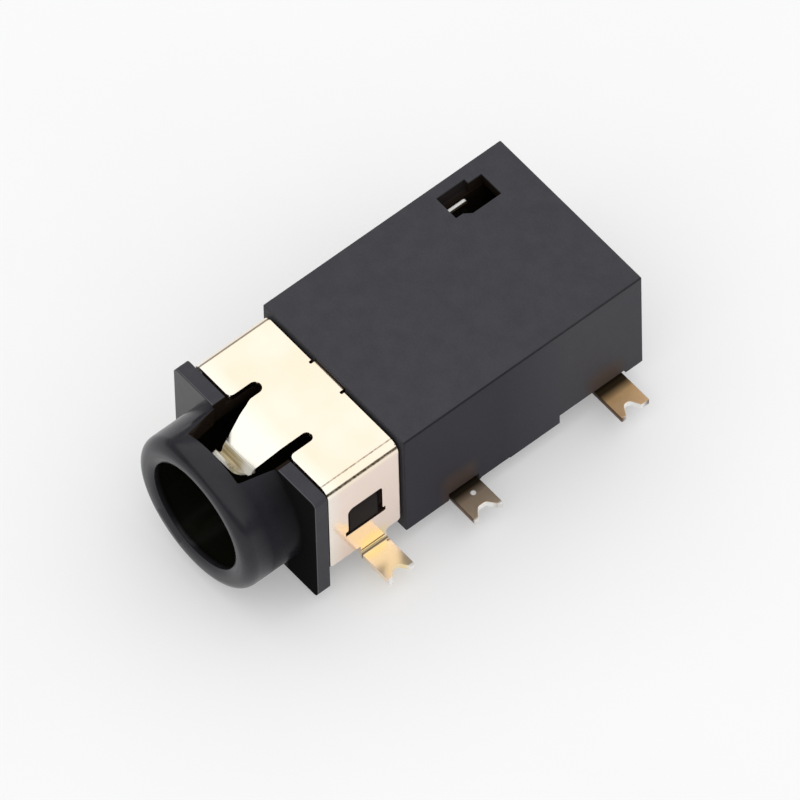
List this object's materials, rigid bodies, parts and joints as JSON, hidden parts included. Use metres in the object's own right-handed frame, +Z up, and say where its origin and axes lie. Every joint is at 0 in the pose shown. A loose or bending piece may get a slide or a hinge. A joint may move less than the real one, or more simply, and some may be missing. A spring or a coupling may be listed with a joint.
{
  "type": "audio jack socket",
  "caption": "Surface-mount socket for a 3.5 mm audio plug: black moulded body with a round nose, folded gold-plated shell and forked solder feet.",
  "frame": {"origin": "on the seating rib under the rear housing, halfway across it, in the plane of the board", "axes": "+X to the right seen from the plug's side, +Y the way the plug goes in, +Z up from the board"},
  "size_m": [0.0084, 0.0137, 0.0053],
  "materials": {
    "moulding": "fine matt moulding",
    "shell_plate": "bright gold plating",
    "contact_plate": "satin gold plating"
  },
  "bodies": {
    "root": {"insulator": "moulding", "ground_shell": "shell_plate", "ring_one_contact": "contact_plate", "ring_two_contact": "contact_plate", "switch_contact": "contact_plate", "tip_contact": "contact_plate"}
  },
  "joints": []
}
